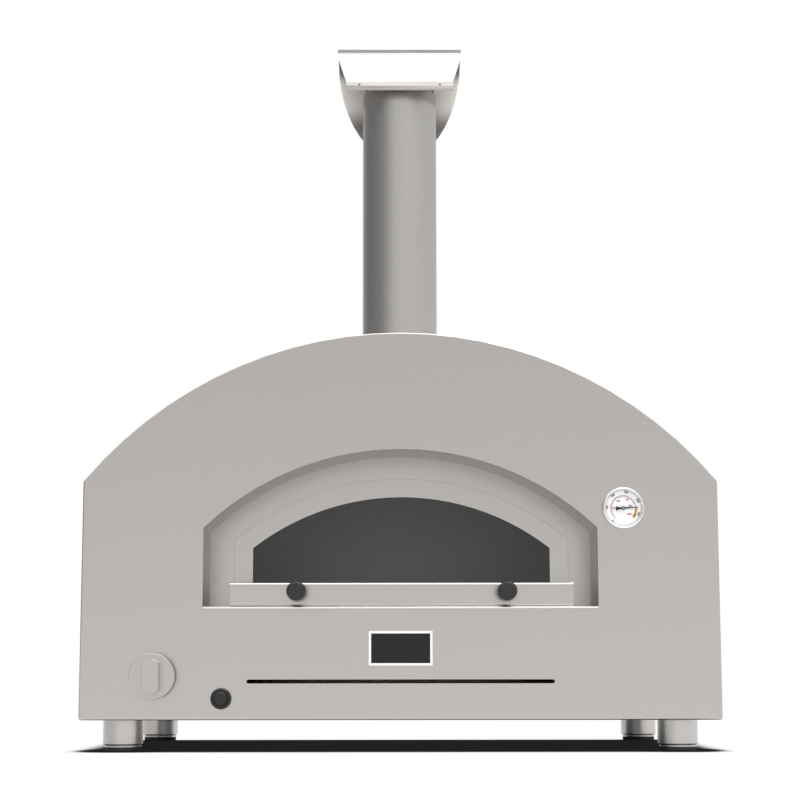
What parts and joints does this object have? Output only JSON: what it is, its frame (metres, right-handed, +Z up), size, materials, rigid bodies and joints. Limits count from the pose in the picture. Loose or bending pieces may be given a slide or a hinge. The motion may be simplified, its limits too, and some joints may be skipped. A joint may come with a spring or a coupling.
{
  "type": "gas pizza oven",
  "caption": "Free-standing gas pizza oven: arched steel body, arched mouth with a lift-out glazed door, flue pipe with a rain cowl, gas knob, igniter button and dial thermometer.",
  "frame": {"origin": "centre of the footprint, on the ground under the foot pads", "axes": "+Z up, the front with the mouth faces -Y, +X is the right side seen from the front"},
  "size_m": [0.98, 0.706, 1.2055],
  "materials": {
    "body_steel": "brushed",
    "mouth_steel": "brushed",
    "door_steel": "brushed",
    "flue_steel": "brushed",
    "foot_steel": "brushed",
    "knob_steel": "satin",
    "dial_steel": "polished",
    "inner_steel": "matte",
    "spring_steel": "satin",
    "foot_rubber": "matte",
    "knob_plastic": "matte",
    "igniter_plastic": "satin",
    "lead_rubber": "matte",
    "needle_black": "matte",
    "valve_brass": "satin",
    "pipe_copper": "satin",
    "hearth_stone": "matte",
    "ceramic_wool": "matte",
    "electrode_ceramic": "gloss",
    "door_window": "gloss",
    "dial_window": "gloss",
    "dial_white": "satin",
    "plate_black": "satin"
  },
  "bodies": {
    "oven": {"base_tray": "inner_steel", "burner_channel": "inner_steel", "burner_tube": "inner_steel", "casing": "body_steel", "chamber_back": "inner_steel", "chamber_liner": "inner_steel", "cowl_back_plate": "flue_steel", "cowl_bracket_left": "inner_steel", "cowl_bracket_right": "inner_steel", "cowl_visor": "flue_steel", "dome_insulation": "ceramic_wool", "floor_insulation": "ceramic_wool", "flue_collar": "flue_steel", "flue_pipe": "flue_steel", "foot_front_left": "foot_steel", "foot_front_right": "foot_steel", "foot_pad_front_left": "foot_rubber", "foot_pad_front_right": "foot_rubber", "foot_pad_rear_left": "foot_rubber", "foot_pad_rear_right": "foot_rubber", "foot_rear_left": "foot_steel", "foot_rear_right": "foot_steel", "front_panel": "body_steel", "gas_feed_pipe": "pipe_copper", "gas_inlet_fitting": "valve_brass", "gas_inlet_pipe": "pipe_copper", "hearth_deck": "inner_steel", "hearth_tile_left": "hearth_stone", "hearth_tile_right": "hearth_stone", "igniter_housing": "igniter_plastic", "igniter_nut": "igniter_plastic", "igniter_spring": "spring_steel", "mouth_surround": "mouth_steel", "nameplate": "plate_black", "rear_insulation": "ceramic_wool", "rear_panel": "body_steel", "sill_plate": "mouth_steel", "spark_electrode": "electrode_ceramic", "spark_lead": "lead_rubber", "thermocouple": "pipe_copper", "thermometer_case": "dial_steel", "thermometer_dial": "dial_white", "thermometer_glass": "dial_window", "throat_frame": "mouth_steel", "valve_body": "valve_brass", "valve_bracket": "inner_steel"},
    "door": {"door_plate": "door_steel", "door_glass": "door_window", "door_glass_retainer": "inner_steel", "door_tray": "door_steel", "door_knob_left": "knob_plastic", "door_knob_right": "knob_plastic", "door_knob_screw_left": "inner_steel", "door_knob_screw_right": "inner_steel"},
    "gas_plug": {"valve_plug": "valve_brass", "valve_spring": "spring_steel"},
    "gas_knob": {"gas_knob": "knob_steel", "valve_spindle": "inner_steel"},
    "igniter_button": {"igniter_button": "igniter_plastic"},
    "needle": {"thermometer_needle": "needle_black"}
  },
  "joints": [
    {"name": "door_slide", "type": "slide", "parent": "oven", "child": "door", "axis": [0, -1, 0], "range_m": [0, 0.3]},
    {"name": "gas_turn", "type": "hinge", "parent": "oven", "child": "gas_plug", "pos_m": [-0.3774, -0.317, 0.1143], "axis": [0, -1, 0], "range_deg": [0, 180]},
    {"name": "gas_press", "type": "slide", "parent": "gas_plug", "child": "gas_knob", "axis": [0, 1, 0], "range_m": [0, 0.004], "stiffness_N_per_m": 1000, "springref_m": -0.003, "deforming": ["valve_spring"]},
    {"name": "igniter_press", "type": "slide", "parent": "oven", "child": "igniter_button", "axis": [0, 1, 0], "range_m": [0, 0.004], "stiffness_N_per_m": 1500, "springref_m": -0.002, "deforming": ["igniter_spring"]},
    {"name": "needle_turn", "type": "hinge", "parent": "oven", "child": "needle", "pos_m": [0.3434, -0.317, 0.37], "axis": [0, 1, 0], "range_deg": [-224, 47]}
  ]
}
